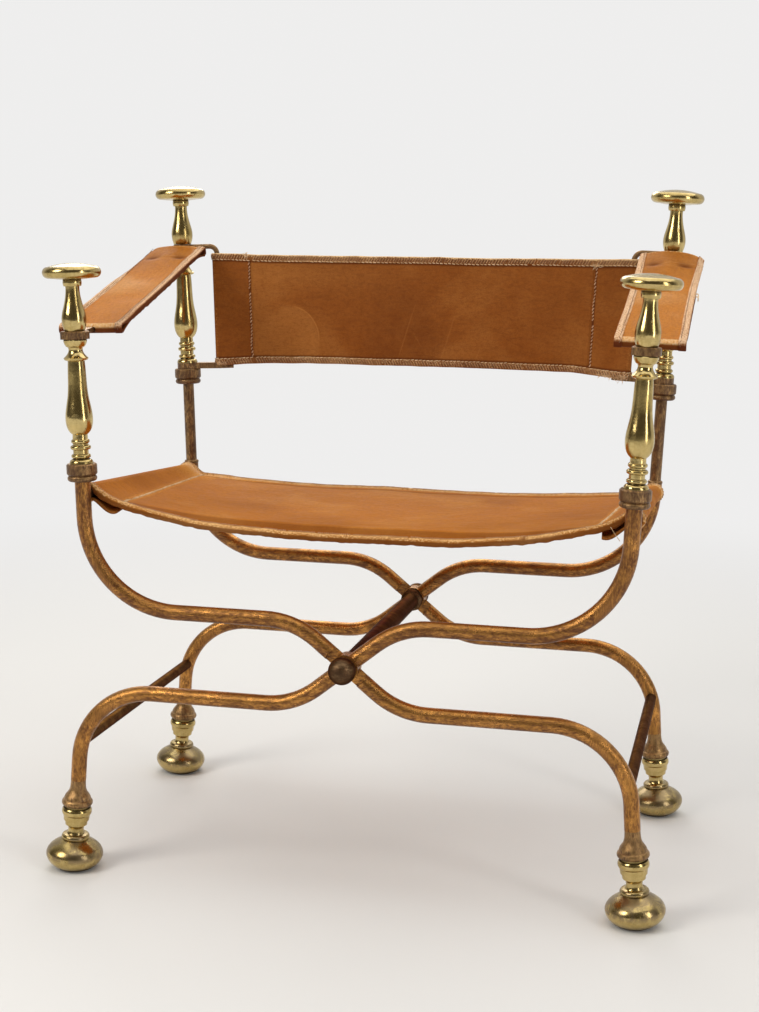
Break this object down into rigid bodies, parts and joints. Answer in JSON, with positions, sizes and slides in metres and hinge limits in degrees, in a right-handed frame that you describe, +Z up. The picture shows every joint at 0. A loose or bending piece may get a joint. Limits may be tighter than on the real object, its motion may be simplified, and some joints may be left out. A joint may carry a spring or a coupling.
{
  "type": "folding armchair",
  "caption": "Savonarola folding X-frame armchair: bent gilt iron bars crossing at a tie rod, turned brass posts and bun feet, slung tan leather seat, back and arm straps.",
  "frame": {"origin": "on the floor under the middle of the chair", "axes": "+X to the sitter's left side as seen from the front (right of the picture), +Y towards the back of the chair, +Z up"},
  "size_m": [0.7314, 0.4452, 0.811],
  "materials": {
    "brass": "polished, aged",
    "gilt_iron": "worn gilding over dark iron",
    "dark_iron": "dark, waxed",
    "bronzed_iron": "bronzed, worn",
    "seat_leather": "tan, worn",
    "back_leather": "tan, worn",
    "strap_leather": "tan, worn"
  },
  "bodies": {
    "frame_a": {"front_bar_a": "gilt_iron", "rear_bar_a": "gilt_iron", "front_left_ferrule": "bronzed_iron", "rear_left_ferrule": "bronzed_iron", "front_left_foot": "brass", "rear_left_foot": "brass", "left_side_stretcher": "dark_iron", "right_seat_rail": "dark_iron", "front_right_collar": "bronzed_iron", "front_right_baluster": "brass", "front_right_vase": "brass", "front_right_cap": "brass", "front_right_stud": "dark_iron", "front_right_arm_hanger": "bronzed_iron", "rear_right_collar": "bronzed_iron", "rear_right_baluster": "brass", "rear_right_vase": "brass", "rear_right_cap": "brass", "rear_right_stud": "dark_iron", "rear_right_arm_hanger": "bronzed_iron", "rear_right_post_rod": "bronzed_iron", "right_arm_strap": "strap_leather", "tie_rod": "dark_iron", "distance_tube": "dark_iron", "pivot_washers": "dark_iron", "front_ball_nut": "dark_iron", "rear_ball_nut": "dark_iron", "seat_leather": "seat_leather", "back_leather": "back_leather"},
    "frame_b": {"front_bar_b": "gilt_iron", "rear_bar_b": "gilt_iron", "front_right_ferrule": "bronzed_iron", "rear_right_ferrule": "bronzed_iron", "front_right_foot": "brass", "rear_right_foot": "brass", "right_side_stretcher": "dark_iron", "left_seat_rail": "dark_iron", "front_left_collar": "bronzed_iron", "front_left_baluster": "brass", "front_left_vase": "brass", "front_left_cap": "brass", "front_left_stud": "dark_iron", "front_left_arm_hanger": "bronzed_iron", "rear_left_collar": "bronzed_iron", "rear_left_baluster": "brass", "rear_left_vase": "brass", "rear_left_cap": "brass", "rear_left_stud": "dark_iron", "rear_left_arm_hanger": "bronzed_iron", "rear_left_post_rod": "bronzed_iron", "left_arm_strap": "strap_leather"},
    "left_bracket": {"left_back_bracket": "bronzed_iron"},
    "right_bracket": {"right_back_bracket": "bronzed_iron"}
  },
  "joints": [
    {"name": "fold", "type": "hinge", "parent": "frame_a", "child": "frame_b", "pos_m": [0, 0, 0.27], "axis": [0, 1, 0], "range_deg": [0, 50], "deforming": ["seat_leather", "back_leather"]},
    {"name": "left_bracket_swivel", "type": "hinge", "parent": "frame_b", "child": "left_bracket", "pos_m": [-0.31851, 0.186, 0.56858], "axis": [-0.0384, 0, 0.9993], "range_deg": [0, 36]},
    {"name": "right_bracket_swivel", "type": "hinge", "parent": "frame_a", "child": "right_bracket", "pos_m": [0.31851, 0.186, 0.56858], "axis": [-0.0384, 0, -0.9993], "range_deg": [0, 36]}
  ],
  "couplings": [
    {"joint": "left_bracket_swivel", "follows": "fold", "ratio": 0.7},
    {"joint": "right_bracket_swivel", "follows": "fold", "ratio": 0.7}
  ]
}
